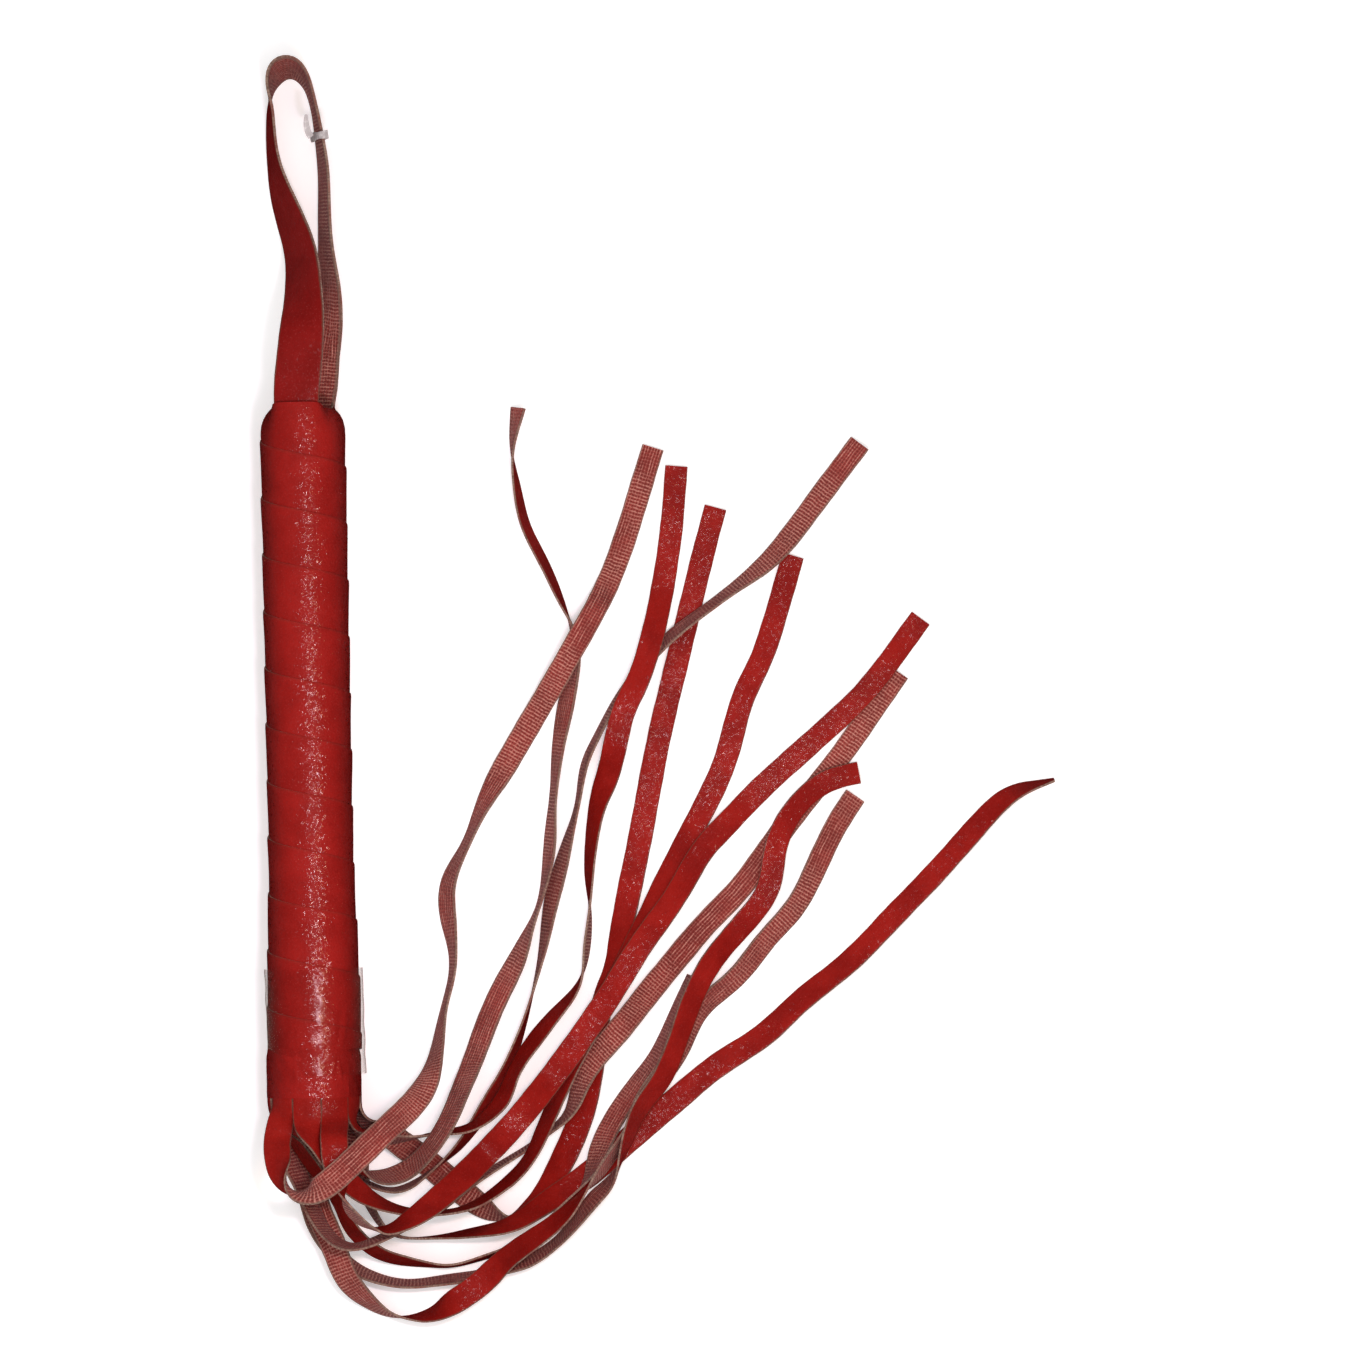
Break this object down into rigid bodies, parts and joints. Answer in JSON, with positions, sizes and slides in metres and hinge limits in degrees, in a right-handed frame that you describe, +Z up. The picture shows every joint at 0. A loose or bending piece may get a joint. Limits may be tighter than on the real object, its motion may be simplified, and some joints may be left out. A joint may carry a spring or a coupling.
{
  "type": "strap whip prop",
  "caption": "Costume strap whip with a spiral-wrapped cylindrical handle, a wrist loop at the pommel and long flat tails that leave the other end and fan out over a table.",
  "frame": {"origin": "centre of the pommel's flat end face, on the handle's axis", "axes": "+Y out of the pommel along the handle's axis, +Z up from the table, +X towards the side the tails fan out to"},
  "size_m": [0.2078, 0.3314, 0.0401],
  "materials": {
    "leatherette": "glossy red grained leatherette with pale wear along the wrap edges",
    "tail_leatherette": "satin red leatherette on one side, dull pink-red woven backing on the other, grey-brown cut edges",
    "clear_film": "clear film and clear nylon tag band",
    "dowel_wood": "plain turned wood, hidden",
    "tack_steel": "plain steel tack, hidden"
  },
  "bodies": {
    "handle": {"core_dowel": "dowel_wood", "pommel_cap": "leatherette", "grip_wrap": "leatherette", "fringe_band": "leatherette", "clear_tape": "clear_film", "strap_tuck_front": "leatherette", "strap_tuck_back": "leatherette", "fringe_tack_1": "tack_steel", "fringe_tack_2": "tack_steel", "fringe_tack_3": "tack_steel", "strap_tack_front": "tack_steel", "strap_tack_back": "tack_steel"},
    "wrist_strap": {"wrist_loop": "leatherette"},
    "tag": {"tag_band": "clear_film"},
    "tail_01": {"tail_01": "tail_leatherette"},
    "tail_02": {"tail_02": "tail_leatherette"},
    "tail_03": {"tail_03": "tail_leatherette"},
    "tail_04": {"tail_04": "tail_leatherette"},
    "tail_05": {"tail_05": "tail_leatherette"},
    "tail_06": {"tail_06": "tail_leatherette"},
    "tail_07": {"tail_07": "tail_leatherette"},
    "tail_08": {"tail_08": "tail_leatherette"},
    "tail_09": {"tail_09": "tail_leatherette"},
    "tail_10": {"tail_10": "tail_leatherette"},
    "tail_11": {"tail_11": "tail_leatherette"},
    "tail_12": {"tail_12": "tail_leatherette"}
  },
  "joints": [
    {"name": "wrist_strap_hinge", "type": "hinge", "parent": "handle", "child": "wrist_strap", "pos_m": [0, 0.011, 0], "axis": [1, 0, 0], "range_deg": [-50, 50]},
    {"name": "tag_slide", "type": "slide", "parent": "wrist_strap", "child": "tag", "axis": [0.127, -0.9919, -0.0042], "range_m": [-0.004, 0.004]},
    {"name": "tail_01_swing", "type": "hinge", "parent": "handle", "child": "tail_01", "pos_m": [0, -0.18, 0], "axis": [0, -1, 0], "range_deg": [0, 110]},
    {"name": "tail_02_swing", "type": "hinge", "parent": "handle", "child": "tail_02", "pos_m": [0, -0.18, 0], "axis": [0, -1, 0], "range_deg": [0, 110]},
    {"name": "tail_03_swing", "type": "hinge", "parent": "handle", "child": "tail_03", "pos_m": [0, -0.18, 0], "axis": [0, -1, 0], "range_deg": [0, 110]},
    {"name": "tail_04_swing", "type": "hinge", "parent": "handle", "child": "tail_04", "pos_m": [0, -0.18, 0], "axis": [0, -1, 0], "range_deg": [0, 110]},
    {"name": "tail_05_swing", "type": "hinge", "parent": "handle", "child": "tail_05", "pos_m": [0, -0.18, 0], "axis": [0, -1, 0], "range_deg": [0, 110]},
    {"name": "tail_06_swing", "type": "hinge", "parent": "handle", "child": "tail_06", "pos_m": [0, -0.18, 0], "axis": [0, -1, 0], "range_deg": [0, 110]},
    {"name": "tail_07_swing", "type": "hinge", "parent": "handle", "child": "tail_07", "pos_m": [0, -0.18, 0], "axis": [0, -1, 0], "range_deg": [0, 110]},
    {"name": "tail_08_swing", "type": "hinge", "parent": "handle", "child": "tail_08", "pos_m": [0, -0.18, 0], "axis": [0, -1, 0], "range_deg": [0, 110]},
    {"name": "tail_09_swing", "type": "hinge", "parent": "handle", "child": "tail_09", "pos_m": [0, -0.18, 0], "axis": [0, -1, 0], "range_deg": [0, 110]},
    {"name": "tail_10_swing", "type": "hinge", "parent": "handle", "child": "tail_10", "pos_m": [0, -0.18, 0], "axis": [0, -1, 0], "range_deg": [0, 110]},
    {"name": "tail_11_swing", "type": "hinge", "parent": "handle", "child": "tail_11", "pos_m": [0, -0.18, 0], "axis": [0, -1, 0], "range_deg": [0, 110]},
    {"name": "tail_12_swing", "type": "hinge", "parent": "handle", "child": "tail_12", "pos_m": [0, -0.18, 0], "axis": [0, -1, 0], "range_deg": [0, 110]}
  ],
  "couplings": [
    {"joint": "tail_01_swing", "follows": "tail_11_swing", "ratio": 1},
    {"joint": "tail_02_swing", "follows": "tail_11_swing", "ratio": 1},
    {"joint": "tail_03_swing", "follows": "tail_11_swing", "ratio": 1},
    {"joint": "tail_04_swing", "follows": "tail_11_swing", "ratio": 1},
    {"joint": "tail_05_swing", "follows": "tail_11_swing", "ratio": 1},
    {"joint": "tail_06_swing", "follows": "tail_11_swing", "ratio": 1},
    {"joint": "tail_07_swing", "follows": "tail_11_swing", "ratio": 1},
    {"joint": "tail_08_swing", "follows": "tail_11_swing", "ratio": 1},
    {"joint": "tail_09_swing", "follows": "tail_11_swing", "ratio": 1},
    {"joint": "tail_10_swing", "follows": "tail_11_swing", "ratio": 1},
    {"joint": "tail_12_swing", "follows": "tail_11_swing", "ratio": 1}
  ]
}
